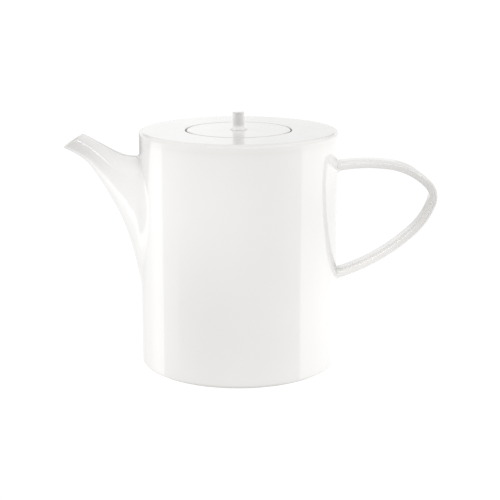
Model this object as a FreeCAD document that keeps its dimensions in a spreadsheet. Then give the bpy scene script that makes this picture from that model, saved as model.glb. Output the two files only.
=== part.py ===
"""Coffee pot in white glazed porcelain: straight round body, sail-shaped spout, ribbon handle
and a flush lid with a pin knob.

Frame: millimetres, +Z up, origin on the body's axis in the plane that the foot stands on.
The spout points along -X and the handle along +X, so XZ is the plane of symmetry.
"""
import FreeCAD, Part
import math
import os
import re

import Sketcher

PARTS_FOLDER = "parts"

# Driving dimensions (millimetres and degrees), each one a named cell of the spreadsheet.
DIMENSIONS = {
    # body
    "body_radius": 60.0,
    "body_height": 144.5,
    "wall_thickness": 4.0,
    "base_edge_radius": 1.5,
    "wall_start": 1.0,
    # floor and foot
    "foot_height": 3.0,
    "foot_outer_radius": 57.5,
    "foot_width": 5.5,
    "foot_edge_radius": 0.6,
    "floor_thickness": 4.5,
    # top plate and seat
    "plate_thickness": 4.5,
    "rim_radius": 2.2,
    "mouth_radius": 32.2,
    "mouth_edge_radius": 0.7,
    "seat_inner_radius": 27.5,
    "seat_outer_radius": 38.0,
    "seat_thickness": 3.5,
    # lid
    "lid_radius": 31.3,
    "lid_gap": 0.3,
    "lid_edge_radius": 0.7,
    "skirt_radius": 26.9,
    "skirt_wall": 3.2,
    "skirt_depth": 14.0,
    # knob
    "knob_radius": 3.6,
    "knob_height": 10.8,
    "knob_foot_height": 0.6,
    "knob_flare": 1.7,
    "knob_flare_round": 1.6,
    "knob_edge_radius": 0.4,
    # handle ribbon
    "ribbon_width": 13.0,
    "ribbon_thickness": 5.2,
    "ribbon_corner": 1.8,
    "handle_start_x": 56.5,
    "handle_start_z": 121.7,
    "handle_start_rise": 12.5,
    # spout: its bore runs on past the lip, along the rise, so that it cuts the end open
    "spout_wall": 3.0,
    "spout_tip_wall": 2.2,
    "lip_overrun": 3.0,
    "lip_rise": 27.6,
    # spout sections: how keeled they are below, and how far down they are widest
    "root_keel": 0.9,
    "root_shoulder": 0.3,
    "lip_shoulder": 0.5,
}

# The handle's centre line is a chain of tangent arcs, from the upper root to the lower one.
HANDLE_ARCS = (
    ("upper_limb", 99.0, 20.2),
    ("shoulder", 41.0, 38.5),
    ("far_bend", 11.0, 64.1),
    ("lower_bend", 45.0, 26.4),
    ("lower_limb", 117.0, 29.0),
)

# The spout's stations from inside the body to the slanted lip: its upper and lower edge in
# the plane of symmetry (x, z) and its half width.
SPOUT_STATIONS = (
    ("inside", (-50.0, 128.0), (-53.5, 26.5), 25.5),
    ("in_wall", (-57.0, 128.2), (-60.2, 50.0), 23.5),
    ("root", (-63.0, 128.6), (-65.2, 72.5), 20.0),
    ("belly", (-68.6, 129.3), (-71.0, 90.0), 16.3),
    ("waist", (-74.0, 131.4), (-77.6, 103.3), 12.8),
    ("neck", (-79.0, 134.1), (-84.5, 115.1), 9.6),
    ("nape", (-83.9, 136.8), (-91.3, 124.5), 7.4),
    ("throat", (-88.8, 139.5), (-98.3, 129.9), 6.5),
    ("lip", (-93.8, 142.1), (-106.1, 133.9), 6.3),
)
SECTION_POINTS = 16

# How near an edge's radius and height must be to the ones asked for.
EDGE_TOLERANCE = 0.01


def make_sheet(doc):
    """Write every driving dimension into a spreadsheet cell with an alias."""
    cells = dict(DIMENSIONS)
    for name, radius, turn in HANDLE_ARCS:
        cells[name + "_radius"] = radius
        cells[name + "_turn"] = turn
    for name, upper, lower, half_width in SPOUT_STATIONS:
        cells[name + "_upper_x"] = upper[0]
        cells[name + "_upper_z"] = upper[1]
        cells[name + "_lower_x"] = lower[0]
        cells[name + "_lower_z"] = lower[1]
        cells[name + "_half_width"] = half_width
    sheet = doc.addObject("Spreadsheet::Sheet", "Dims")
    for row, (alias, value) in enumerate(cells.items(), start=1):
        sheet.set("A%d" % row, alias)
        sheet.set("B%d" % row, str(value))
        sheet.setAlias("B%d" % row, alias)
    doc.recompute()
    return sheet


def value_of(sheet, formula):
    """The number that a formula of sheet aliases gives now."""
    return float(sheet.evalExpression(formula))


def linked(formula, sheet):
    """The same formula, written so that another object can use it."""

    def with_sheet(match):
        word = match.group(0)
        is_alias = sheet.getCellFromAlias(word) is not None
        return "Dims." + word if is_alias else word

    return re.sub(r"[a-z_][a-z_0-9]*", with_sheet, formula)


def make_body(doc, label):
    """A new, empty PartDesign body."""
    body = doc.addObject("PartDesign::Body", label)
    body.Label = label
    return body


def origin_plane(body, role):
    """One of the body's own three base planes."""
    for feature in body.Origin.OriginFeatures:
        if feature.Role == role:
            return feature
    raise ValueError("no plane " + role)


def add_sketch(body, name, role):
    """A new sketch on one of the body's base planes."""
    sketch = body.newObject("Sketcher::SketchObject", name)
    sketch.AttachmentSupport = [(origin_plane(body, role), "")]
    sketch.MapMode = "FlatFace"
    return sketch


def pin_point(sketch, sheet, edge, vertex, formulas, label):
    """Hold one sketch point at the distances that two formulas give."""
    axes = (("DistanceX", formulas[0]), ("DistanceY", formulas[1]))
    for kind, formula in axes:
        value = value_of(sheet, formula)
        index = sketch.addConstraint(Sketcher.Constraint(kind, -1, 1, edge, vertex, value))
        sketch.renameConstraint(index, label + kind[-1].lower())
        sketch.setExpression("Constraints[%d]" % index, linked(formula, sheet))


def add_polygon(sketch, sheet, corners):
    """Draw a closed outline whose corners sit where pairs of formulas put them."""
    points = []
    for across, up in corners:
        points.append(FreeCAD.Vector(value_of(sheet, across), value_of(sheet, up), 0))
    count = len(points)
    for index in range(count):
        line = Part.LineSegment(points[index], points[(index + 1) % count])
        sketch.addGeometry(line, False)
    for index in range(count):
        following = (index + 1) % count
        sketch.addConstraint(Sketcher.Constraint("Coincident", index, 2, following, 1))
    for index, formulas in enumerate(corners):
        pin_point(sketch, sheet, index, 1, formulas, "corner%d" % index)


def turned_body(doc, sheet, label, corners):
    """A body made by turning an outline in the XZ plane about the Z axis."""
    body = make_body(doc, label)
    sketch = add_sketch(body, label + "_outline", "XZ_Plane")
    add_polygon(sketch, sheet, corners)
    turn = body.newObject("PartDesign::Revolution", label + "_turn")
    turn.Profile = sketch
    turn.ReferenceAxis = (sketch, ["V_Axis"])
    turn.Angle = 360.0
    doc.recompute()
    return body


def round_edges(doc, sheet, body, name, radius_alias, wanted):
    """Round the circular edges whose (radius, height) is in the list wanted."""
    base = body.Tip
    names = []
    for index, edge in enumerate(base.Shape.Edges, start=1):
        if not isinstance(edge.Curve, Part.Circle):
            continue
        for radius, height in wanted:
            radius_error = abs(edge.Curve.Radius - value_of(sheet, radius))
            height_error = abs(edge.Curve.Center.z - value_of(sheet, height))
            if max(radius_error, height_error) < EDGE_TOLERANCE:
                names.append("Edge%d" % index)
    if len(names) != len(wanted):
        raise ValueError("%s: %d edges found, %d wanted" % (name, len(names), len(wanted)))
    fillet = body.newObject("PartDesign::Fillet", name)
    fillet.Base = (base, names)
    fillet.setExpression("Radius", linked(radius_alias, sheet))
    doc.recompute()
    return fillet


def build_body_wall(doc, sheet, bore):
    """The straight wall, open above and below, with the spout's bore cut through it."""
    inner = "body_radius - wall_thickness"
    top = "body_height - plate_thickness"
    corners = (
        (inner, "foot_height"),
        ("foot_outer_radius", "foot_height"),
        ("foot_outer_radius", "wall_start"),
        ("body_radius", "wall_start"),
        ("body_radius", top),
        (inner, top),
    )
    tube = turned_body(doc, sheet, "wall_tube", corners)
    round_edges(doc, sheet, tube, "wall_base_edge", "base_edge_radius",
                [("body_radius", "wall_start")])
    wall = doc.addObject("Part::Cut", "body_wall")
    wall.Label = "body_wall"
    wall.Base = tube
    wall.Tool = bore
    return wall


def build_body_floor(doc, sheet):
    """The floor slab inside the foot of the wall."""
    edge = "body_radius - wall_thickness"
    top = "foot_height + floor_thickness"
    corners = (("0", "foot_height"), (edge, "foot_height"), (edge, top), ("0", top))
    return turned_body(doc, sheet, "body_floor", corners)


def build_foot_ring(doc, sheet):
    """The unglazed ring under the wall and floor."""
    inner = "foot_outer_radius - foot_width"
    outer = "foot_outer_radius"
    corners = ((inner, "0"), (outer, "0"), (outer, "foot_height"), (inner, "foot_height"))
    ring = turned_body(doc, sheet, "foot_ring", corners)
    round_edges(doc, sheet, ring, "foot_ring_edges", "foot_edge_radius",
                [(inner, "0"), (outer, "0")])
    return ring


def build_top_plate(doc, sheet):
    """The flat top with the rounded rim outside and the mouth inside."""
    bottom = "body_height - plate_thickness"
    corners = (
        ("mouth_radius", bottom),
        ("body_radius", bottom),
        ("body_radius", "body_height"),
        ("mouth_radius", "body_height"),
    )
    plate = turned_body(doc, sheet, "top_plate", corners)
    round_edges(doc, sheet, plate, "plate_rim", "rim_radius",
                [("body_radius", "body_height")])
    round_edges(doc, sheet, plate, "plate_mouth_edge", "mouth_edge_radius",
                [("mouth_radius", "body_height")])
    return plate


def build_lid_seat(doc, sheet):
    """The ring under the mouth that the lid lies on."""
    top = "body_height - plate_thickness"
    bottom = "body_height - plate_thickness - seat_thickness"
    corners = (
        ("seat_inner_radius", bottom),
        ("seat_outer_radius", bottom),
        ("seat_outer_radius", top),
        ("seat_inner_radius", top),
    )
    return turned_body(doc, sheet, "lid_seat", corners)


def build_lid_disc(doc, sheet):
    """The flat cover, level with the top plate."""
    bottom = "body_height - plate_thickness + lid_gap"
    corners = (("0", bottom), ("lid_radius", bottom), ("lid_radius", "body_height"),
               ("0", "body_height"))
    disc = turned_body(doc, sheet, "lid_disc", corners)
    round_edges(doc, sheet, disc, "lid_disc_edges", "lid_edge_radius",
                [("lid_radius", "body_height"), ("lid_radius", bottom)])
    return disc


def build_lid_skirt(doc, sheet):
    """The locating ring that hangs from the cover through the seat."""
    top = "body_height - plate_thickness + lid_gap"
    bottom = "body_height - plate_thickness + lid_gap - skirt_depth"
    inner = "skirt_radius - skirt_wall"
    corners = ((inner, bottom), ("skirt_radius", bottom), ("skirt_radius", top), (inner, top))
    skirt = turned_body(doc, sheet, "lid_skirt", corners)
    round_edges(doc, sheet, skirt, "lid_skirt_edges", "lid_edge_radius",
                [("skirt_radius", bottom), (inner, bottom)])
    return skirt


def build_lid_knob(doc, sheet):
    """The pin knob with its small flared foot."""
    foot_radius = "knob_radius + knob_flare"
    foot_top = "body_height + knob_foot_height"
    top = "body_height + knob_height"
    corners = (
        ("0", "body_height"),
        (foot_radius, "body_height"),
        (foot_radius, foot_top),
        ("knob_radius", foot_top),
        ("knob_radius", top),
        ("0", top),
    )
    knob = turned_body(doc, sheet, "lid_knob", corners)
    round_edges(doc, sheet, knob, "knob_flare_edge", "knob_flare_round",
                [("knob_radius", foot_top)])
    round_edges(doc, sheet, knob, "knob_top_edge", "knob_edge_radius",
                [("knob_radius", top)])
    return knob


def add_arc_chain(sketch, sheet):
    """Draw the handle's centre line: tangent arcs that all bend the same way."""
    quarter = 90.0
    heading = value_of(sheet, "handle_start_rise")
    x = value_of(sheet, "handle_start_x")
    z = value_of(sheet, "handle_start_z")
    for index, (name, _, _) in enumerate(HANDLE_ARCS):
        radius = value_of(sheet, name + "_radius")
        turn = value_of(sheet, name + "_turn")
        begin = math.radians(heading + quarter)
        end = math.radians(heading - turn + quarter)
        centre_x = x - radius * math.cos(begin)
        centre_z = z - radius * math.sin(begin)
        circle = Part.Circle(FreeCAD.Vector(centre_x, centre_z, 0), FreeCAD.Vector(0, 0, 1), radius)
        sketch.addGeometry(Part.ArcOfCircle(circle, end, begin), False)
        if index > 0:
            sketch.addConstraint(Sketcher.Constraint("Tangent", index - 1, 1, index, 2))
        x = centre_x + radius * math.cos(end)
        z = centre_z + radius * math.sin(end)
        heading -= turn
    pin_point(sketch, sheet, 0, 2, ("handle_start_x", "handle_start_z"), "start")
    first = HANDLE_ARCS[0][0] + "_radius"
    centre = (
        "handle_start_x + %s * sin(handle_start_rise)" % first,
        "handle_start_z - %s * cos(handle_start_rise)" % first,
    )
    pin_point(sketch, sheet, 0, 3, centre, "centre")
    for index, (name, _, _) in enumerate(HANDLE_ARCS):
        if index > 0:
            radius = Sketcher.Constraint("Radius", index, value_of(sheet, name + "_radius"))
            row = sketch.addConstraint(radius)
            sketch.setExpression("Constraints[%d]" % row, linked(name + "_radius", sheet))
        turn = math.radians(value_of(sheet, name + "_turn"))
        row = sketch.addConstraint(Sketcher.Constraint("Angle", index, turn))
        sketch.setExpression("Constraints[%d]" % row, linked(name + "_turn * 1 deg", sheet))


def add_rounded_rectangle(sheet, sketch, width, height, corner):
    """Draw a rectangle with round corners about the sketch's origin."""
    half = width + " / 2"
    low = "-" + height + " / 2"
    high = height + " / 2"
    runs = (
        (("-" + half + " + " + corner, low), (half + " - " + corner, low)),
        ((half, low + " + " + corner), (half, high + " - " + corner)),
        ((half + " - " + corner, high), ("-" + half + " + " + corner, high)),
        (("-" + half, high + " - " + corner), ("-" + half, low + " + " + corner)),
    )
    radius = value_of(sheet, corner)
    count = len(runs)
    for start, end in runs:
        ends = []
        for across, up in (start, end):
            ends.append(FreeCAD.Vector(value_of(sheet, across), value_of(sheet, up), 0))
        sketch.addGeometry(Part.LineSegment(ends[0], ends[1]), False)
    for index in range(count):
        quarter = math.pi / 2
        begin = -quarter + index * quarter
        run_end = sketch.Geometry[index].EndPoint
        centre = run_end - radius * FreeCAD.Vector(math.cos(begin), math.sin(begin), 0)
        circle = Part.Circle(centre, FreeCAD.Vector(0, 0, 1), radius)
        sketch.addGeometry(Part.ArcOfCircle(circle, begin, begin + quarter), False)
    for index, (start, end) in enumerate(runs):
        pin_point(sketch, sheet, index, 1, start, "run%dstart" % index)
        pin_point(sketch, sheet, index, 2, end, "run%dend" % index)
    for index in range(count):
        arc = count + index
        following = (index + 1) % count
        sketch.addConstraint(Sketcher.Constraint("Coincident", arc, 1, index, 2))
        sketch.addConstraint(Sketcher.Constraint("Coincident", arc, 2, following, 1))
        row = sketch.addConstraint(Sketcher.Constraint("Radius", arc, radius))
        sketch.setExpression("Constraints[%d]" % row, linked(corner, sheet))


def build_handle(doc, sheet):
    """The ribbon handle, its two ends cut to the round of the wall."""
    body = make_body(doc, "handle")
    path = add_sketch(body, "handle_path", "XZ_Plane")
    add_arc_chain(path, sheet)
    profile = add_sketch(body, "handle_profile", "YZ_Plane")
    profile.AttachmentOffset = FreeCAD.Placement(
        FreeCAD.Vector(0, 0, 0), FreeCAD.Rotation(FreeCAD.Vector(1, 0, 0), -1))
    profile.setExpression("AttachmentOffset.Base.y", linked("handle_start_z", sheet))
    profile.setExpression("AttachmentOffset.Base.z", linked("handle_start_x", sheet))
    profile.setExpression("AttachmentOffset.Rotation.Angle",
                          linked("-handle_start_rise", sheet))
    add_rounded_rectangle(sheet, profile, "ribbon_width", "ribbon_thickness", "ribbon_corner")
    doc.recompute()
    pipe = body.newObject("PartDesign::AdditivePipe", "handle_ribbon")
    pipe.Profile = profile
    pipe.Spine = (path, [])
    doc.recompute()
    before = pipe.Shape.Volume
    circle = add_sketch(body, "handle_trim_circle", "XY_Plane")
    radius = value_of(sheet, "body_radius")
    centre = FreeCAD.Vector(0, 0, 0)
    circle.addGeometry(Part.Circle(centre, FreeCAD.Vector(0, 0, 1), radius), False)
    circle.addConstraint(Sketcher.Constraint("Coincident", 0, 3, -1, 1))
    row = circle.addConstraint(Sketcher.Constraint("Radius", 0, radius))
    circle.setExpression("Constraints[%d]" % row, linked("body_radius", sheet))
    doc.recompute()
    trim = body.newObject("PartDesign::Pocket", "handle_trim")
    trim.Profile = circle
    trim.Type = "ThroughAll"
    trim.Reversed = True
    doc.recompute()
    least_cut = 1.0
    if trim.Shape.Volume > before - least_cut:
        raise ValueError("the handle's ends were not trimmed")
    return body


def station_point(sheet, name, edge):
    """The upper or lower edge of the spout at one station."""
    x = value_of(sheet, "%s_%s_x" % (name, edge))
    z = value_of(sheet, "%s_%s_z" % (name, edge))
    return FreeCAD.Vector(x, 0, z)


def spout_section(sheet, index, wall, overrun):
    """A closed egg-shaped curve at one station, smaller all round by the wall.

    Near the body the section is widest high up and runs down to a keel, and towards the lip
    it becomes an ellipse.
    """
    name = SPOUT_STATIONS[index][0]
    rootward = 1.0 - index / (len(SPOUT_STATIONS) - 1.0)
    keel = value_of(sheet, "root_keel") * rootward
    shoulder = (value_of(sheet, "root_shoulder") * rootward
                + value_of(sheet, "lip_shoulder") * (1.0 - rootward))
    upper = station_point(sheet, name, "upper")
    lower = station_point(sheet, name, "lower")
    height = (upper - lower).Length
    up = (upper - lower) / height
    rise = math.radians(value_of(sheet, "lip_rise"))
    shift = FreeCAD.Vector(-overrun * math.cos(rise), 0, overrun * math.sin(rise))
    middle = upper - up * (height * shoulder) + shift
    above = height * shoulder - wall
    below = height * (1.0 - shoulder) - wall * (1.0 + keel)
    half_width = value_of(sheet, name + "_half_width") - wall
    points = []
    for step in range(SECTION_POINTS):
        angle = 2 * math.pi * step / SECTION_POINTS
        along = math.cos(angle)
        across = math.sin(angle)
        if along < 0:
            pointed = math.copysign(math.cos(math.pi / 2 * along), across)
            across += keel * (pointed - across)
        reach = above if along > 0 else below
        sideways = FreeCAD.Vector(0, half_width * across, 0)
        points.append(middle + up * (along * reach) + sideways)
    curve = Part.BSplineCurve()
    parameters = [float(step) for step in range(SECTION_POINTS + 1)]
    curve.interpolate(Points=points, PeriodicFlag=True, Parameters=parameters)
    return Part.Wire([curve.toShape()])


def spout_loft(doc, sheet, label, walls, overrun):
    """A smooth solid through the sections of all the stations."""
    rings = []
    last = len(SPOUT_STATIONS) - 1
    for index, wall in enumerate(walls):
        ring = doc.addObject("Part::Feature", "%s_%s" % (label, SPOUT_STATIONS[index][0]))
        ring.Shape = spout_section(sheet, index, wall, overrun if index == last else 0.0)
        rings.append(ring)
    loft = doc.addObject("Part::Loft", label)
    loft.Sections = rings
    loft.Solid = True
    loft.Ruled = False
    doc.recompute()
    return loft


def build_spout(doc, sheet):
    """The hollow spout, its root cut to the round of the wall, and the bore inside it."""
    count = len(SPOUT_STATIONS)
    outer = spout_loft(doc, sheet, "spout_outside", [0.0] * count, 0.0)
    root_wall = value_of(sheet, "spout_wall")
    tip_wall = value_of(sheet, "spout_tip_wall")
    walls = []
    for index in range(count):
        walls.append(root_wall + (tip_wall - root_wall) * index / (count - 1))
    bore = spout_loft(doc, sheet, "spout_bore", walls, value_of(sheet, "lip_overrun"))
    shell = doc.addObject("Part::Cut", "spout_shell")
    shell.Base = outer
    shell.Tool = bore
    core = doc.addObject("Part::Cylinder", "spout_trim_core")
    core.setExpression("Radius", linked("body_radius", sheet))
    core.setExpression("Height", linked("body_height", sheet))
    spout = doc.addObject("Part::Cut", "spout")
    spout.Label = "spout"
    spout.Base = shell
    spout.Tool = core
    return spout, bore


def check_document(doc, pieces):
    """Stop if any object failed or any piece isn't one valid solid."""
    for item in doc.Objects:
        if "Invalid" in item.State or "Error" in item.State:
            raise ValueError("%s failed: %s" % (item.Name, item.State))
    for piece in pieces:
        shape = piece.Shape
        if shape.isNull() or not shape.isValid():
            raise ValueError(piece.Label + " has no valid shape")
        if len(shape.Solids) != 1:
            raise ValueError("%s has %d solids" % (piece.Label, len(shape.Solids)))


def main():
    """Build the document, check it and write one STEP file for each piece."""
    doc = FreeCAD.newDocument("coffee_pot")
    sheet = make_sheet(doc)
    spout, bore = build_spout(doc, sheet)
    pieces = [
        build_body_wall(doc, sheet, bore),
        build_body_floor(doc, sheet),
        build_foot_ring(doc, sheet),
        build_top_plate(doc, sheet),
        build_lid_seat(doc, sheet),
        spout,
        build_handle(doc, sheet),
        build_lid_disc(doc, sheet),
        build_lid_skirt(doc, sheet),
        build_lid_knob(doc, sheet),
    ]
    doc.recompute()
    check_document(doc, pieces)
    os.makedirs(PARTS_FOLDER, exist_ok=True)
    for piece in pieces:
        piece.Shape.exportStep(os.path.join(PARTS_FOLDER, piece.Label + ".step"))
        print("%-12s %9.1f mm3" % (piece.Label, piece.Shape.Volume))


main()
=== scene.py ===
"""Looks of the coffee pot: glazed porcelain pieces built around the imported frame, in a white studio.

Metres, the frame's own axes: +Z up, the spout along -X, the handle along +X, the viewer on the
-Y side. The pot body's pieces ride on "pot" and the lid's pieces on "lid".
"""
import math

import bmesh
import bpy
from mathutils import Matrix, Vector, noise


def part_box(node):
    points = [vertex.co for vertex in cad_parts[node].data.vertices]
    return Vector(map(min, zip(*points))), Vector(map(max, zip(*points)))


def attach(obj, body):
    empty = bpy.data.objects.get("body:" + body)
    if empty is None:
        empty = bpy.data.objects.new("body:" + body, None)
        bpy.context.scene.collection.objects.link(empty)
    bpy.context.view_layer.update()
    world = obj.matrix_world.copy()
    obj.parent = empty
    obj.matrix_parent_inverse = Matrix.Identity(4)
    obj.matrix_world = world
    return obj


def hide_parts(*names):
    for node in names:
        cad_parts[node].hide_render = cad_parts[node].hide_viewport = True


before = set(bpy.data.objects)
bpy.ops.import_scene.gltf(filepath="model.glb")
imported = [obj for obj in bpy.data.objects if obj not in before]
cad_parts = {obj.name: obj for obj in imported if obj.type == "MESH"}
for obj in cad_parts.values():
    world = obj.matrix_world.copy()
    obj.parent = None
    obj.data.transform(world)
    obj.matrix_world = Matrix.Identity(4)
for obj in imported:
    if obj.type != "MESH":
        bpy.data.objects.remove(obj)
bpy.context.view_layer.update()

MM = 0.001

# ---------------------------------------------------------------- sizes read from the frame

WALL_LOW, WALL_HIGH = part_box("body_wall")
FLOOR_LOW, FLOOR_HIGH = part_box("body_floor")
FOOT_LOW, FOOT_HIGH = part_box("foot_ring")
PLATE_LOW, PLATE_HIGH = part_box("top_plate")
SEAT_LOW, SEAT_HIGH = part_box("lid_seat")
DISC_LOW, DISC_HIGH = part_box("lid_disc")
SKIRT_LOW, SKIRT_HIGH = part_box("lid_skirt")
KNOB_LOW, KNOB_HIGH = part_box("lid_knob")

BODY_RADIUS = WALL_HIGH.x
INNER_RADIUS = FLOOR_HIGH.x
FOOT_RADIUS = FOOT_HIGH.x
TOP = PLATE_HIGH.z
LID_RADIUS = DISC_HIGH.x

# ---------------------------------------------------------------- sizes the boxes don't show

FOOT_WIDTH = 5.5 * MM
MOUTH_RADIUS = LID_RADIUS + 0.9 * MM
SEAT_INNER_RADIUS = 27.5 * MM
SKIRT_WALL = 3.2 * MM
KNOB_RADIUS = 3.6 * MM
SPOUT_WALL_AT_ROOT = 3.0 * MM
SPOUT_WALL_AT_LIP = 2.2 * MM

# Spout stations from inside the wall to the lip, in millimetres: upper edge (x, z), lower
# edge (x, z) and half width.
SPOUT_STATIONS = (
    ((-50.0, 128.0), (-53.5, 26.5), 25.5),
    ((-57.0, 128.2), (-60.2, 50.0), 23.5),
    ((-63.0, 128.6), (-65.2, 72.5), 20.0),
    ((-68.6, 129.3), (-71.0, 90.0), 16.3),
    ((-74.0, 131.4), (-77.6, 103.3), 12.8),
    ((-79.0, 134.1), (-84.5, 115.1), 9.6),
    ((-83.9, 136.8), (-91.3, 124.5), 7.4),
    ((-88.8, 139.5), (-98.3, 129.9), 6.5),
    ((-93.8, 142.1), (-106.1, 133.9), 6.3),
)
ROOT_KEEL = 0.9
ROOT_SHOULDER = 0.3
LIP_SHOULDER = 0.5

# The handle's centre line: where it starts inside the wall (mm), how steeply it rises there
# (degrees), and its tangent arcs (radius in mm, turn in degrees), all bending downwards.
HANDLE_START = (56.5, 121.7)
HANDLE_RISE = 12.5
HANDLE_ARCS = ((99.0, 20.2), (41.0, 38.5), (11.0, 64.1), (45.0, 26.4), (117.0, 29.0))
RIBBON_WIDTH = 13.0 * MM
RIBBON_THICKNESS = 5.2 * MM
RIBBON_CORNER = 2.35 * MM

# How finely things are drawn.
TURN_SEGMENTS = 288
ARC_STEPS = 7
LONGEST_RUN = 3.0 * MM
SUNK = 0.06 * MM

# ---------------------------------------------------------------- mesh helpers


def hand_made(point):
    """Move a point by the slow unevenness that throwing, drying and firing leave."""
    depth = 0.035 * MM
    wavelength = 42.0 * MM
    shift = noise.noise_vector(point / wavelength)
    return point + shift * depth


def skin(name, rings, closed):
    """A mesh of quads between rings of points; a ring of one point is a pole."""
    bm = bmesh.new()
    rows = []
    for ring in rings:
        rows.append([bm.verts.new(hand_made(point)) for point in ring])
    pairs = list(zip(rows, rows[1:]))
    if closed:
        pairs.append((rows[-1], rows[0]))
    for low, high in pairs:
        count = max(len(low), len(high))
        for i in range(count):
            j = (i + 1) % count
            corners = (low[i % len(low)], low[j % len(low)], high[j % len(high)], high[i % len(high)])
            bm.faces.new(tuple(dict.fromkeys(corners)))
    bmesh.ops.recalc_face_normals(bm, faces=bm.faces)
    mesh = bpy.data.meshes.new(name)
    bm.to_mesh(mesh)
    bm.free()
    piece = bpy.data.objects.new(name, mesh)
    bpy.context.scene.collection.objects.link(piece)
    return piece


def rounded_outline(corners):
    """Points of a closed outline of (radius, height, rounding) corners, with long runs divided."""
    points = []
    count = len(corners)
    for index, (radius, height, rounding) in enumerate(corners):
        here = Vector((radius, height))
        if rounding == 0:
            points.append(here)
            continue
        before = (Vector(corners[index - 1][:2]) - here).normalized()
        after = (Vector(corners[(index + 1) % count][:2]) - here).normalized()
        half = before.angle(after) / 2
        start = here + before * (rounding / math.tan(half))
        centre = here + (before + after).normalized() * (rounding / math.sin(half))
        end = here + after * (rounding / math.tan(half))
        sweep = (start - centre).angle(end - centre)
        for step in range(ARC_STEPS + 1):
            done = step / ARC_STEPS
            arm = ((start - centre) * math.sin((1 - done) * sweep)
                   + (end - centre) * math.sin(done * sweep)) / math.sin(sweep)
            points.append(centre + arm)
    return points


def divided(points, closed):
    """The same outline with no run longer than LONGEST_RUN."""
    ends = points[1:] + points[:1] if closed else points[1:]
    result = []
    for start, end in zip(points, ends):
        parts = max(1, math.ceil((end - start).length / LONGEST_RUN))
        for part in range(parts):
            result.append(start.lerp(end, part / parts))
    if not closed:
        result.append(points[-1])
    return result


def turned(name, corners):
    """A piece turned about the Z axis. An outline that starts on the axis must end on it too."""
    points = rounded_outline(corners)
    solid = points[0].x == 0
    rings = []
    for point in divided(points, closed=not solid):
        if point.x < 1e-9:
            rings.append([Vector((0, 0, point.y))])
            continue
        ring = []
        for segment in range(TURN_SEGMENTS):
            angle = 2 * math.pi * segment / TURN_SEGMENTS
            ring.append(Vector((point.x * math.cos(angle), point.x * math.sin(angle), point.y)))
        rings.append(ring)
    return skin(name, rings, closed=not solid)


def radius_of(point):
    return math.hypot(point.x, point.y)


def crossing(strip, inside, outside):
    """Where a strip, a function of one number, crosses the wall's outer surface."""
    halvings = 40
    for _ in range(halvings):
        middle = (inside + outside) / 2
        if radius_of(strip(middle)) < BODY_RADIUS:
            inside = middle
        else:
            outside = middle
    return (inside + outside) / 2


def onto_wall(point, radius):
    """The point moved straight out or in to the given radius."""
    scale = radius / radius_of(point)
    return Vector((point.x * scale, point.y * scale, point.z))


def walk(strip, start, direction, distance):
    """The number at which the strip is the given distance away from its point at start."""
    stride = 0.01
    step = direction * stride
    here = start
    origin = strip(start)
    while (strip(here) - origin).length < distance:
        here += step
    return here


def flared_root(strips, inside, outside, reaches):
    """Concave fillets from strips onto the wall: a list of short rings, from the wall outwards,
    and the number at which each strip goes on from its fillet."""
    meets = [crossing(strip, inside, outside) for strip in strips]
    feet = [strip(meet) for strip, meet in zip(strips, meets)]
    middle = sum(feet, Vector()) / len(feet)
    direction = 1 if outside > inside else -1
    steps = 9
    probe = 0.02
    roundness = 0.62
    overlap = 0.4 * MM
    fillets = []
    starts = []
    count = len(strips)
    for index, strip in enumerate(strips):
        foot = feet[index]
        along = feet[(index + 1) % count] - feet[index - 1]
        up = Vector((foot.x, foot.y, 0)).normalized()
        away = along.cross(up).normalized()
        if away.dot(foot - middle) < 0:
            away = -away
        reach = reaches[index]
        start = walk(strip, meets[index], direction, reach)
        lip = strip(start)
        slope = (lip - strip(start - direction * probe)).normalized()
        edge = onto_wall(foot + away * reach, BODY_RADIUS)
        pull = roundness * reach
        handles = (edge, edge - away * pull, lip - slope * pull, lip)
        line = []
        for step in range(steps + 1):
            t = step / steps
            weights = ((1 - t) ** 3, 3 * t * (1 - t) ** 2, 3 * t * t * (1 - t), t ** 3)
            point = sum((handle * weight for handle, weight in zip(handles, weights)), Vector())
            if radius_of(point) < BODY_RADIUS:
                point = onto_wall(point, BODY_RADIUS)
            line.append(point)
        line[0] = onto_wall(line[0] + away * overlap, BODY_RADIUS - SUNK)
        fillets.append(line)
        starts.append(start)
    rings = [[line[step] for line in fillets] for step in range(steps + 1)]
    return rings, starts


# ---------------------------------------------------------------- glaze and clay


def noise_node(tree, scale, detail, source):
    node = tree.nodes.new("ShaderNodeTexNoise")
    node.inputs["Scale"].default_value = scale
    node.inputs["Detail"].default_value = detail
    tree.links.new(source, node.inputs["Vector"])
    return node


def ramp(tree, source, stops):
    """A colour ramp over (position, colour) stops."""
    node = tree.nodes.new("ShaderNodeValToRGB")
    elements = node.color_ramp.elements
    while len(elements) < len(stops):
        elements.new(0.5)
    for element, (position, colour) in zip(elements, stops):
        element.position = position
        element.color = (*colour, 1)
    tree.links.new(source, node.inputs["Fac"])
    return node


def spread(tree, source, low, high):
    """A noise value, 0.3 to 0.7 for most of the surface, spread from low to high."""
    node = tree.nodes.new("ShaderNodeMapRange")
    node.inputs["From Min"].default_value = 0.3
    node.inputs["From Max"].default_value = 0.7
    node.inputs["To Min"].default_value = low
    node.inputs["To Max"].default_value = high
    tree.links.new(source, node.inputs["Value"])
    return node.outputs["Result"]


def bump(tree, height, strength, distance, below=None):
    node = tree.nodes.new("ShaderNodeBump")
    node.inputs["Strength"].default_value = strength
    node.inputs["Distance"].default_value = distance
    tree.links.new(height, node.inputs["Height"])
    if below is not None:
        tree.links.new(below, node.inputs["Normal"])
    return node.outputs["Normal"]


def new_material(name):
    material = bpy.data.materials.new(name)
    material.use_nodes = True
    tree = material.node_tree
    shader = tree.nodes["Principled BSDF"]
    place = tree.nodes.new("ShaderNodeTexCoord").outputs["Object"]
    return material, tree, shader, place


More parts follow.
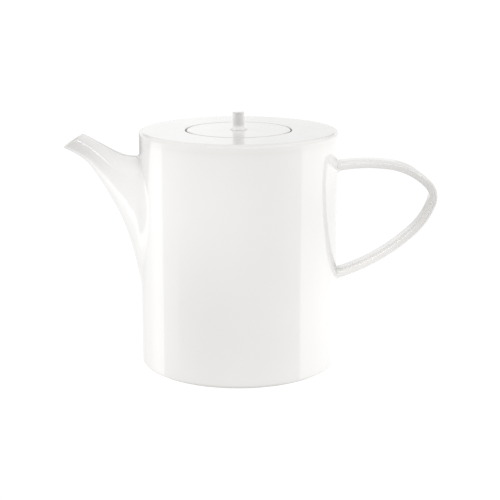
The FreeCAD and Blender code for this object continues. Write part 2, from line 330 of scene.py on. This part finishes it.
def glaze_material(name, smoothest, roughest, coat):
    """Clear gloss glaze on white porcelain: cloudy thickness, warm thin edges, orange peel."""
    coat_polish = 0.6
    material, tree, shader, place = new_material(name)
    clouds = noise_node(tree, scale=14.0, detail=3.0, source=place)
    tint = ramp(tree, clouds.outputs["Fac"], (
        (0.30, (0.806, 0.796, 0.783)),
        (0.55, (0.821, 0.812, 0.801)),
        (0.75, (0.812, 0.805, 0.799)),
    ))
    edge = tree.nodes.new("ShaderNodeAttribute")
    edge.attribute_name = "thin_glaze"
    warm = tree.nodes.new("ShaderNodeMix")
    warm.data_type = "RGBA"
    warm.inputs["B"].default_value = (0.78, 0.765, 0.735, 1)
    tree.links.new(edge.outputs["Fac"], warm.inputs["Factor"])
    tree.links.new(tint.outputs["Color"], warm.inputs["A"])
    tree.links.new(warm.outputs["Result"], shader.inputs["Base Color"])
    streaks = noise_node(tree, scale=60.0, detail=2.0, source=place)
    roughness = spread(tree, streaks.outputs["Fac"], smoothest, roughest)
    tree.links.new(roughness, shader.inputs["Roughness"])
    peel = noise_node(tree, scale=420.0, detail=1.5, source=place)
    sag = noise_node(tree, scale=70.0, detail=1.0, source=place)
    rolling = bump(tree, sag.outputs["Fac"], strength=0.04, distance=0.4 * MM)
    skin_deep = bump(tree, peel.outputs["Fac"], strength=0.02, distance=0.05 * MM, below=rolling)
    tree.links.new(skin_deep, shader.inputs["Normal"])
    shader.inputs["IOR"].default_value = 1.52
    shader.inputs["Coat Weight"].default_value = coat
    shader.inputs["Coat Roughness"].default_value = smoothest * coat_polish
    shader.inputs["Coat IOR"].default_value = 1.5
    return material


def clay_material():
    """The bare foot ring: fired porcelain, matt and fine-grained, a little warm."""
    material, tree, shader, place = new_material("unglazed_clay")
    grain = noise_node(tree, scale=1500.0, detail=4.0, source=place)
    stain = noise_node(tree, scale=90.0, detail=3.0, source=place)
    tint = ramp(tree, stain.outputs["Fac"], (
        (0.30, (0.66, 0.635, 0.59)),
        (0.60, (0.76, 0.74, 0.70)),
        (0.80, (0.80, 0.785, 0.755)),
    ))
    tree.links.new(tint.outputs["Color"], shader.inputs["Base Color"])
    roughness = spread(tree, grain.outputs["Fac"], low=0.6, high=0.85)
    tree.links.new(roughness, shader.inputs["Roughness"])
    gritty = bump(tree, grain.outputs["Fac"], strength=0.35, distance=0.15 * MM)
    tree.links.new(gritty, shader.inputs["Normal"])
    return material


# The level top plate and lid disc have a softer sheen than the rest.
GLAZE = glaze_material("white_glaze", smoothest=0.05, roughest=0.085, coat=0.6)
LEVEL_GLAZE = glaze_material("white_glaze_on_level_faces", smoothest=0.12, roughest=0.17, coat=0.2)
CLAY = clay_material()


def mark_thin_glaze(mesh):
    """Give every vertex a number, 0 on flat or hollow places and 1 on a sharp outer edge."""
    bm = bmesh.new()
    bm.from_mesh(mesh)
    sharpest = 900.0   # radians of bend per metre, as on an edge rounded by 1.1 mm
    blunt = 0.15       # the share of that bend below which the glaze stays thick
    values = []
    for vertex in bm.verts:
        bends = []
        for edge in vertex.link_edges:
            if len(edge.link_faces) == 2 and edge.is_convex:
                across = sum(face.calc_area() for face in edge.link_faces) / (2 * edge.calc_length())
                bends.append(edge.calc_face_angle(0) / across)
        bend = max(bends, default=0.0)
        values.append(min(1.0, max(0.0, (bend / sharpest - blunt) / (1 - blunt))))
    smooth = []
    for vertex in bm.verts:
        around = [values[edge.other_vert(vertex).index] for edge in vertex.link_edges]
        smooth.append(0.5 * values[vertex.index] + 0.5 * sum(around) / len(around))
    bm.free()
    layer = mesh.attributes.new("thin_glaze", "FLOAT", "POINT")
    layer.data.foreach_set("value", smooth)


def finished(piece, node, body, material):
    """Smooth shading, material, and the piece's place in the frame."""
    crease = math.radians(40)
    mesh = piece.data
    mark_thin_glaze(mesh)
    mesh.materials.clear()
    mesh.materials.append(material)
    mesh.shade_smooth()
    mesh.set_sharp_from_angle(angle=crease)
    weighted = piece.modifiers.new("even_normals", "WEIGHTED_NORMAL")
    weighted.keep_sharp = True
    weighted.weight = 70
    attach(piece, body)
    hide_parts(node)


# ---------------------------------------------------------------- the spout's surfaces


def station_values(where):
    """Upper edge, lower edge and half width at a place between stations, smoothly."""
    last = len(SPOUT_STATIONS) - 1
    index = min(last - 1, max(0, int(where)))
    t = where - index

    def numbers(station):
        upper, lower, half_width = SPOUT_STATIONS[min(last, max(0, station))]
        return Vector((*upper, *lower)), half_width

    rows = [numbers(index + offset) for offset in (-1, 0, 1, 2)]
    if index == 0:
        rows[0] = (rows[1][0] * 2 - rows[2][0], rows[1][1] * 2 - rows[2][1])
    if index == last - 1:
        rows[3] = (rows[2][0] * 2 - rows[1][0], rows[2][1] * 2 - rows[1][1])
    weights = (
        (-t ** 3 + 2 * t ** 2 - t) / 2,
        (3 * t ** 3 - 5 * t ** 2 + 2) / 2,
        (-3 * t ** 3 + 4 * t ** 2 + t) / 2,
        (t ** 3 - t ** 2) / 2,
    )
    edges = Vector((0, 0, 0, 0))
    half_width = 0.0
    for (row_edges, row_width), weight in zip(rows, weights):
        edges += row_edges * weight
        half_width += row_width * weight
    upper = Vector((edges[0], 0, edges[1])) * MM
    lower = Vector((edges[2], 0, edges[3])) * MM
    return upper, lower, half_width * MM


def spout_point(where, angle, wall):
    """A point of the egg-shaped section, shrunk all round by the wall."""
    upper, lower, half_width = station_values(where)
    rootward = 1.0 - where / (len(SPOUT_STATIONS) - 1)
    keel = ROOT_KEEL * rootward
    shoulder = ROOT_SHOULDER * rootward + LIP_SHOULDER * (1 - rootward)
    height = (upper - lower).length
    up = (upper - lower) / height
    middle = upper - up * (height * shoulder)
    along = math.cos(angle)
    across = math.sin(angle)
    reach = height * shoulder - wall
    if along < 0:
        reach = height * (1 - shoulder) - wall * (1 + keel)
        pointed = math.copysign(math.cos(math.pi / 2 * along), across)
        across += keel * (pointed - across)
    return middle + up * (along * reach) + Vector((0, (half_width - wall) * across, 0))


def wall_at(where):
    share = where / (len(SPOUT_STATIONS) - 1)
    return SPOUT_WALL_AT_ROOT * (1 - share) + SPOUT_WALL_AT_LIP * share


SPOUT_SIDES = 96
LIP_AT = len(SPOUT_STATIONS) - 1.0


def spout_angles():
    return [2 * math.pi * side / SPOUT_SIDES for side in range(SPOUT_SIDES)]


def build_spout():
    """Outside with a fillet onto the wall, a soft rounded lip, and the bore back to the wall."""
    fillet_above = 2.6 * MM
    more_at_sides = 2.0 * MM
    more_below = 1.2 * MM
    lip_depth = 0.75 * MM
    squareness = 0.75
    rows = 90
    lip_rows = 12
    angles = spout_angles()
    outside = [lambda where, a=a: spout_point(where, a, 0.0) for a in angles]
    bore = [lambda where, a=a: spout_point(where, a, wall_at(where)) for a in angles]
    reaches = [fillet_above + more_at_sides * math.sin(a) ** 2 + more_below * (1 - math.cos(a))
               for a in angles]
    rings, starts = flared_root(outside, inside=0.0, outside=3.0, reaches=reaches)
    lip_length = (outside[0](LIP_AT) - outside[0](LIP_AT - 1)).length
    lip_start = LIP_AT - lip_depth / lip_length
    for row in range(1, rows + 1):
        share = row / rows
        rings.append([strip(start + (lip_start - start) * share)
                      for strip, start in zip(outside, starts)])
    for row in range(1, lip_rows):
        angle = math.pi * row / lip_rows
        across = math.copysign(abs(math.cos(angle)) ** squareness, math.cos(angle))
        forward = math.sin(angle) ** squareness
        where = lip_start + (LIP_AT - lip_start) * forward
        ring = []
        for outer, inner in zip(outside, bore):
            middle = (outer(where) + inner(where)) / 2
            ring.append(middle + (outer(where) - middle) * across)
        rings.append(ring)
    meets = [crossing(strip, inside=0.0, outside=4.0) for strip in bore]
    for row in range(rows + 1):
        share = row / rows
        rings.append([strip(lip_start + (meet - lip_start) * share)
                      for strip, meet in zip(bore, meets)])
    rings[-1] = [onto_wall(point, BODY_RADIUS - SUNK) for point in rings[-1]]
    return skin("glazed_spout", rings, closed=True)


def bore_cutter():
    """A closed plug in the shape of the bore where it passes through the wall."""
    angles = spout_angles()
    rings = []
    steps = 40
    reach = 4.0
    for step in range(steps + 1):
        where = reach * step / steps
        rings.append([spout_point(where, a, wall_at(where)) for a in angles])
    for ring, position in ((rings[0], 0), (rings[-1], len(rings) + 1)):
        rings.insert(position, [sum(ring, Vector()) / len(ring)])
    return skin("bore_cutter", rings, closed=False)


# ---------------------------------------------------------------- the handle


def handle_frame(distance):
    """Point, heading and upward direction on the handle's centre line."""
    x, z = HANDLE_START
    heading = math.radians(HANDLE_RISE)
    remaining = distance / MM
    for index, (radius, turn) in enumerate(HANDLE_ARCS):
        length = radius * math.radians(turn)
        here = remaining if index == len(HANDLE_ARCS) - 1 else min(remaining, length)
        bend = here / radius
        centre_x = x + radius * math.sin(heading)
        centre_z = z - radius * math.cos(heading)
        heading -= bend
        x = centre_x - radius * math.sin(heading)
        z = centre_z + radius * math.cos(heading)
        remaining -= here
        if remaining <= 0:
            break
    up = Vector((-math.sin(heading), 0, math.cos(heading)))
    return Vector((x * MM, 0, z * MM)), up


def build_handle():
    """The ribbon handle: flat faces, soft corners, both ends flared onto the wall."""
    facet = 1.2 * MM
    fillet = 2.6 * MM
    stretch = 10 * MM   # what one unit of a strip's number stands for
    rows = 190
    half_width = RIBBON_WIDTH / 2
    half_thick = RIBBON_THICKNESS / 2
    corners = []
    for side, level in ((1, 1), (-1, 1), (-1, -1), (1, -1)):
        corners.append((side * half_width, level * half_thick, RIBBON_CORNER))
    section = []
    outline = rounded_outline(corners)
    for start, end in zip(outline, outline[1:] + outline[:1]):
        parts = max(1, round((end - start).length / facet))
        for part in range(parts):
            section.append(start.lerp(end, part / parts))
    length = sum(radius * math.radians(turn) for radius, turn in HANDLE_ARCS) * MM

    def strip_at(offset):
        def strip(where):
            point, up = handle_frame(where * stretch)
            return point + up * offset.y + Vector((0, offset.x, 0))
        return strip

    strips = [strip_at(offset) for offset in section]
    total = length / stretch
    reaches = [fillet] * len(strips)
    upper, upper_starts = flared_root(strips, inside=0.0, outside=1.5, reaches=reaches)
    lower, lower_starts = flared_root(strips, inside=total, outside=total - 2.5, reaches=reaches)
    rings = upper
    for row in range(1, rows):
        share = row / rows
        rings.append([strip(start + (end - start) * share)
                      for strip, start, end in zip(strips, upper_starts, lower_starts)])
    rings += list(reversed(lower))
    for ring, position in ((rings[0], 0), (rings[-1], len(rings) + 1)):
        middle = sum(ring, Vector()) / len(ring)
        rings.insert(position, [onto_wall(middle, BODY_RADIUS - 3 * SUNK)])
    return skin("glazed_handle", rings, closed=False)


# ---------------------------------------------------------------- the turned pieces


def build_wall():
    """The straight wall, with the spout's bore cut through it."""
    inner_rounding = 0.4 * MM
    outer_rounding = 1.5 * MM
    base = WALL_LOW.z
    step = FLOOR_LOW.z
    top = WALL_HIGH.z
    wall = turned("glazed_wall", (
        (INNER_RADIUS, step, 0),
        (FOOT_RADIUS, step, 0),
        (FOOT_RADIUS, base, inner_rounding),
        (BODY_RADIUS, base, outer_rounding),
        (BODY_RADIUS, top, 0),
        (INNER_RADIUS, top, 0),
    ))
    cutter = bore_cutter()
    cut = wall.modifiers.new("spout_bore", "BOOLEAN")
    cut.operation = "DIFFERENCE"
    cut.solver = "EXACT"
    cut.object = cutter
    bpy.context.view_layer.update()
    depsgraph = bpy.context.evaluated_depsgraph_get()
    mesh = bpy.data.meshes.new_from_object(wall.evaluated_get(depsgraph))
    wall.modifiers.clear()
    wall.data = mesh
    bpy.data.objects.remove(cutter)
    return wall


def build_floor():
    """The floor slab, with a hollow round where it meets the wall."""
    cove_height = 3.5 * MM
    cove_radius = cove_height * 0.98
    cove_edge = INNER_RADIUS - 0.05 * MM
    return turned("glazed_floor", (
        (0, FLOOR_LOW.z, 0),
        (INNER_RADIUS, FLOOR_LOW.z, 0),
        (INNER_RADIUS, FLOOR_HIGH.z + cove_height, 0),
        (cove_edge, FLOOR_HIGH.z + cove_height, 0),
        (cove_edge, FLOOR_HIGH.z, cove_radius),
        (0, FLOOR_HIGH.z, 0),
    ))


def build_foot_ring():
    """The unglazed ring the pot stands on, its two lower edges softened."""
    inner = FOOT_RADIUS - FOOT_WIDTH
    inner_rounding = 0.8 * MM
    outer_rounding = 0.6 * MM
    return turned("bare_foot_ring", (
        (inner, FOOT_HIGH.z, 0),
        (inner, FOOT_LOW.z, inner_rounding),
        (FOOT_RADIUS, FOOT_LOW.z, outer_rounding),
        (FOOT_RADIUS, FOOT_HIGH.z, 0),
    ))


def build_top_plate():
    """The flat top, round at the rim and softly broken at the mouth."""
    rim_rounding = 2.2 * MM
    mouth_rounding = 0.6 * MM
    return turned("glazed_top_plate", (
        (MOUTH_RADIUS, PLATE_LOW.z, 0),
        (BODY_RADIUS, PLATE_LOW.z, 0),
        (BODY_RADIUS, TOP, rim_rounding),
        (MOUTH_RADIUS, TOP, mouth_rounding),
    ))


def build_lid_seat():
    """The ring under the mouth that the lid rests on."""
    rounding = 0.6 * MM
    return turned("glazed_lid_seat", (
        (SEAT_INNER_RADIUS, SEAT_LOW.z, rounding),
        (SEAT_HIGH.x, SEAT_LOW.z, 0),
        (SEAT_HIGH.x, SEAT_HIGH.z, 0),
        (SEAT_INNER_RADIUS, SEAT_HIGH.z, rounding),
    ))


def build_lid_disc():
    """The flat cover, its upper edge a little crisper than its lower one."""
    lower_rounding = 0.7 * MM
    upper_rounding = 0.6 * MM
    return turned("glazed_lid_disc", (
        (0, DISC_LOW.z, 0),
        (LID_RADIUS, DISC_LOW.z, lower_rounding),
        (LID_RADIUS, DISC_HIGH.z, upper_rounding),
        (0, DISC_HIGH.z, 0),
    ))


def build_lid_skirt():
    """The locating ring under the cover, round at its lower edges."""
    rounding = 0.9 * MM
    outer = SKIRT_HIGH.x
    inner = outer - SKIRT_WALL
    return turned("glazed_lid_skirt", (
        (inner, SKIRT_LOW.z, rounding),
        (outer, SKIRT_LOW.z, rounding),
        (outer, SKIRT_HIGH.z, 0),
        (inner, SKIRT_HIGH.z, 0),
    ))


def build_knob():
    """The pin knob, its foot swept out onto the lid and its flat top crisply broken."""
    foot = KNOB_HIGH.x
    foot_edge = 0.25 * MM
    foot_slope_top = 0.35 * MM
    flare = 1.7 * MM
    top_rounding = 0.4 * MM
    return turned("glazed_knob", (
        (0, KNOB_LOW.z, 0),
        (foot, KNOB_LOW.z, 0),
        (foot, KNOB_LOW.z + foot_edge, 0),
        (KNOB_RADIUS, KNOB_LOW.z + foot_slope_top, flare),
        (KNOB_RADIUS, KNOB_HIGH.z, top_rounding),
        (0, KNOB_HIGH.z, 0),
    ))


finished(build_wall(), "body_wall", "pot", GLAZE)
finished(build_floor(), "body_floor", "pot", GLAZE)
finished(build_foot_ring(), "foot_ring", "pot", CLAY)
finished(build_top_plate(), "top_plate", "pot", LEVEL_GLAZE)
finished(build_lid_seat(), "lid_seat", "pot", GLAZE)
finished(build_spout(), "spout", "pot", GLAZE)
finished(build_handle(), "handle", "pot", GLAZE)
finished(build_lid_disc(), "lid_disc", "lid", LEVEL_GLAZE)
finished(build_lid_skirt(), "lid_skirt", "lid", GLAZE)
finished(build_knob(), "lid_knob", "lid", GLAZE)

# ---------------------------------------------------------------- studio

# What the gloss sees round the pot, as stops of brightness by azimuth to the right of the viewer's
# side (degrees): the dim room in front, a bright softbox at each side, and the room behind.
SOFTBOXES = (
    (-160.0, 1.0), (-145.0, 1.0), (-125.0, 1.3), (-110.0, 1.9), (-96.6, 2.1), (-96.4, 1.3),
    (-80.0, 1.1), (-60.0, 0.95), (-45.0, 0.9), (74.7, 0.9), (74.9, 1.65), (90.0, 1.55),
    (112.0, 1.5), (130.0, 1.3), (160.0, 1.1),
)
# The wall behind the pot, as stops of brightness by elevation (degrees), with a dim band. It is a
# little brighter to the left.
BACK_WALL = (
    (-2.0, 0.9), (2.0, 0.8), (6.5, 0.85), (8.0, 1.1), (14.0, 1.1), (17.0, 0.5), (26.0, 0.5),
    (32.0, 1.2),
)
BACK_WALL_MIDDLE = 1.01
BACK_WALL_RISE = 0.03       # per degree to the left
BACK_WALL_RISE_REACH = 2.2  # degrees either way
# The brightness of the other parts, or their step from what is behind them.
OPEN_ROOM = 0.9
DIM_CORNER = 0.42
DIM_FRONT_STEP = 0.35
STRIP_LAMP_STEP = 4.6
OVERHEAD = 1.2
# Where each part acts, as stops of its share by azimuth (ROUND) or elevation (UP). The open room
# takes over from the softboxes above the horizon. A dim corner stands at the left behind, hidden
# by the back wall above the horizon. A dim band lies low in front and a strip lamp hangs high in
# front.
OPEN_ROOM_UP = ((-4.0, 0.0), (4.0, 1.0))
DIM_CORNER_ROUND = ((-180.0, 0.0), (-165.0, 0.7), (-152.0, 1.0), (-131.0, 0.0))
DIM_CORNER_UP = ((-18.0, 0.0), (-12.0, 0.4), (-8.0, 1.0))
DIM_FRONT_ROUND = ((70.0, 1.0), (74.7, 0.0))
DIM_FRONT_UP = ((-22.5, 0.0), (-20.5, 1.0), (-17.0, 1.0), (-12.0, 0.0))
BACK_WALL_ROUND = ((110.0, 0.0), (130.0, 1.0))
BACK_WALL_UP = ((-1.0, 0.0), (1.5, 1.0))
STRIP_LAMP_ROUND = ((-38.0, 0.0), (-32.0, 1.0), (50.0, 1.0), (70.0, 0.0))
STRIP_LAMP_UP = ((25.5, 0.0), (27.0, 1.0), (32.0, 1.0), (33.5, 0.0))
OVERHEAD_UP = ((35.0, 0.0), (50.0, 1.0))


def emission_material(name, strength, attribute=None):
    """A plain white glow, its strength the same all over or taken from a vertex attribute."""
    material = bpy.data.materials.new(name)
    material.use_nodes = True
    tree = material.node_tree
    tree.nodes.clear()
    glow = tree.nodes.new("ShaderNodeEmission")
    glow.inputs["Strength"].default_value = strength
    if attribute:
        level = tree.nodes.new("ShaderNodeAttribute")
        level.attribute_name = attribute
        tree.links.new(level.outputs["Fac"], glow.inputs["Strength"])
    out = tree.nodes.new("ShaderNodeOutputMaterial")
    tree.links.new(glow.outputs["Emission"], out.inputs["Surface"])
    material.cycles.emission_sampling = "NONE"
    return material


def stage_mesh(name, points, faces, material):
    """A piece of the studio, which is not part of the object."""
    mesh = bpy.data.meshes.new(name)
    mesh.from_pydata(points, [], faces)
    mesh.materials.append(material)
    piece = bpy.data.objects.new(name, mesh)
    bpy.context.scene.collection.objects.link(piece)
    return piece


def circle(radius, height):
    """Points round a level circle about the Z axis."""
    sides = 96
    points = []
    for side in range(sides):
        angle = 2 * math.pi * side / sides
        points.append((radius * math.cos(angle), radius * math.sin(angle), height))
    return points


def floor():
    """A wide white light table and backdrop, seen by the camera only, and the pot's own shade."""
    reach = 6.0
    table_drop = 0.1 * MM
    shade_drop = 0.5 * MM
    shade_margin = 2.0 * MM
    low = circle(reach, -table_drop)
    high = circle(reach, reach)
    count = len(low)
    faces = [tuple(range(count))]
    for side in range(count):
        after = (side + 1) % count
        faces.append((side, after, count + after, count + side))
    acrylic = emission_material("lit_acrylic", strength=1.05)
    table = stage_mesh("studio_floor", low + high, faces, acrylic)
    table.visible_diffuse = False
    table.visible_glossy = False
    table.visible_shadow = False
    rim = circle(BODY_RADIUS + shade_margin, -shade_drop)
    dim_glow = emission_material("dim_glow", strength=0.45)
    shade = stage_mesh("contact_shade", rim, [tuple(range(len(rim)))], dim_glow)
    shade.visible_camera = False
    shade.visible_glossy = False


def blend_stops(stops, place):
    """The value at a place, straight between (place, value) stops and level beyond them."""
    if place <= stops[0][0]:
        return stops[0][1]
    for (start, low), (end, high) in zip(stops, stops[1:]):
        if place <= end:
            return low + (high - low) * (place - start) / (end - start)
    return stops[-1][1]


def surround_level(azimuth, elevation):
    """How bright the studio round the pot is in one direction."""
    level = blend_stops(SOFTBOXES, azimuth)
    level += (OPEN_ROOM - level) * blend_stops(OPEN_ROOM_UP, elevation)
    corner = blend_stops(DIM_CORNER_ROUND, azimuth) * blend_stops(DIM_CORNER_UP, elevation)
    level += (DIM_CORNER - level) * corner
    front = blend_stops(DIM_FRONT_ROUND, abs(azimuth)) * blend_stops(DIM_FRONT_UP, elevation)
    level -= DIM_FRONT_STEP * front
    from_middle = azimuth + 180 if azimuth < 0 else azimuth - 180
    to_the_left = min(BACK_WALL_RISE_REACH, max(-BACK_WALL_RISE_REACH, from_middle))
    back_wall = blend_stops(BACK_WALL, elevation) * (BACK_WALL_MIDDLE + BACK_WALL_RISE * to_the_left)
    behind = blend_stops(BACK_WALL_ROUND, abs(azimuth)) * blend_stops(BACK_WALL_UP, elevation)
    level += (back_wall - level) * behind
    strip = blend_stops(STRIP_LAMP_ROUND, azimuth) * blend_stops(STRIP_LAMP_UP, elevation)
    level += STRIP_LAMP_STEP * strip
    return level + (OVERHEAD - level) * blend_stops(OVERHEAD_UP, elevation)


def surround():
    """A dome round the pot, seen only in its gloss, whose brightness varies like a studio's."""
    distance = 1.2
    middle = Vector((0, 0, 0.1))
    azimuths = []
    for step in range(361):
        azimuths.append(-180.0 + step)
    azimuths += [azimuth for azimuth, level in SOFTBOXES if azimuth % 1]
    azimuths.sort()
    elevations = []
    for step in range(181):
        elevations.append(-90.0 + step)
    points = []
    levels = []
    for elevation in elevations:
        for azimuth in azimuths:
            a, e = math.radians(azimuth), math.radians(elevation)
            away = Vector((math.sin(a) * math.cos(e), -math.cos(a) * math.cos(e), math.sin(e)))
            points.append(middle + away * distance)
            levels.append(surround_level(azimuth, elevation))
    row = len(azimuths)
    faces = []
    for band in range(len(elevations) - 1):
        for step in range(row - 1):
            i = band * row + step
            faces.append((i, i + 1, i + 1 + row, i + row))
    glow = emission_material("surround_glow", strength=1.0, attribute="level")
    dome = stage_mesh("studio_surround", points, faces, glow)
    layer = dome.data.attributes.new("level", "FLOAT", "POINT")
    layer.data.foreach_set("value", levels)
    dome.visible_camera = False
    dome.visible_diffuse = False
    dome.visible_shadow = False


def upright_card(name, place, half, low, high, glow):
    """A card across the viewer's side that replaces the room's light by its own dimmer glow, for
    the matt porcelain under the glaze only: camera and gloss don't see it."""
    corners = [(-half, place, low), (half, place, low), (half, place, high), (-half, place, high)]
    card = stage_mesh(name, corners, [(0, 1, 2, 3)], emission_material(name + "_cloth", glow))
    card.visible_camera = False
    card.visible_glossy = False


def aimed(name, data, place, target):
    """Put a lamp in the scene, turned towards its target, that camera and gloss don't see."""
    light = bpy.data.objects.new(name, data)
    light.location = place
    direction = Vector(target) - Vector(place)
    light.rotation_euler = direction.to_track_quat("-Z", "Y").to_euler()
    light.visible_camera = False
    light.visible_glossy = False
    bpy.context.scene.collection.objects.link(light)


def beam(name, place, target, reach, fading, power):
    """A gentle round beam of the given radius where it lands, fading towards its edge."""
    lens_radius = 0.04
    data = bpy.data.lights.new(name, "SPOT")
    distance = (Vector(target) - Vector(place)).length
    data.energy = power
    data.shadow_soft_size = lens_radius
    data.spot_size = 2 * math.atan(reach / distance)
    data.spot_blend = fading
    aimed(name, data, place, target)


def area_light(name, place, target, width, power):
    """A soft square lamp."""
    data = bpy.data.lights.new(name, "AREA")
    data.shape = "RECTANGLE"
    data.size = width
    data.size_y = width
    data.energy = power
    aimed(name, data, place, target)


def studio():
    """Even light from all round, three beams from the front, soft lamps above and at both sides,
    two cards, the floor, and the surround that the gloss mirrors."""
    room_light = 0.76
    world = bpy.data.worlds.new("studio")
    bpy.context.scene.world = world
    world.use_nodes = True
    backdrop = world.node_tree.nodes["Background"]
    backdrop.inputs["Color"].default_value = (1, 1, 1, 1)
    backdrop.inputs["Strength"].default_value = room_light
    world.cycles_visibility.glossy = False
    floor()
    surround()
    upright_card("knob_flag", place=-0.1, half=7 * MM, low=KNOB_LOW.z + 1.5 * MM,
                 high=KNOB_HIGH.z + 1 * MM, glow=0.0)
    upright_card("front_card", place=-3.2, half=2.4, low=-2.4, high=2.4, glow=0.5)
    beam("front_beam", place=(0.005, -3.0, 0.12), target=(0.005, 0, 0.072),
         reach=0.133, fading=0.4, power=120.0)
    beam("spout_beam", place=(1.0, -3.0, 0.12), target=(-0.075, 0, 0.105),
         reach=0.046, fading=0.8, power=74.0)
    beam("handle_beam", place=(-0.35, -3.0, 0.12), target=(0.084, 0, 0.036),
         reach=0.044, fading=0.8, power=58.0)
    area_light("overhead", place=(0.0, 0.1, 1.3), target=(0, 0, 0.1), width=0.8, power=2.0)
    area_light("right_side", place=(1.16, 0.31, 0.25), target=(0, 0, 0.07), width=0.5, power=4.6)
    area_light("left_side", place=(-1.16, 0.31, 0.25), target=(0, 0, 0.07), width=0.5, power=3.8)


def camera():
    """A long-lens product view from the front, looking down a little on the rim."""
    distance = 0.829
    height = 0.2695
    pitch = 0.2364   # radians below the horizon
    pan = 0.0083     # radians to the viewer's right
    data = bpy.data.cameras.new("camera")
    data.lens = 99.8
    data.sensor_width = 36.0
    view = bpy.data.objects.new("camera", data)
    view.location = (0, -distance, height)
    view.rotation_euler = (math.pi / 2 - pitch, 0, -pan)
    bpy.context.scene.collection.objects.link(view)
    bpy.context.scene.camera = view


studio()
camera()
bpy.context.scene.view_settings.view_transform = "Standard"
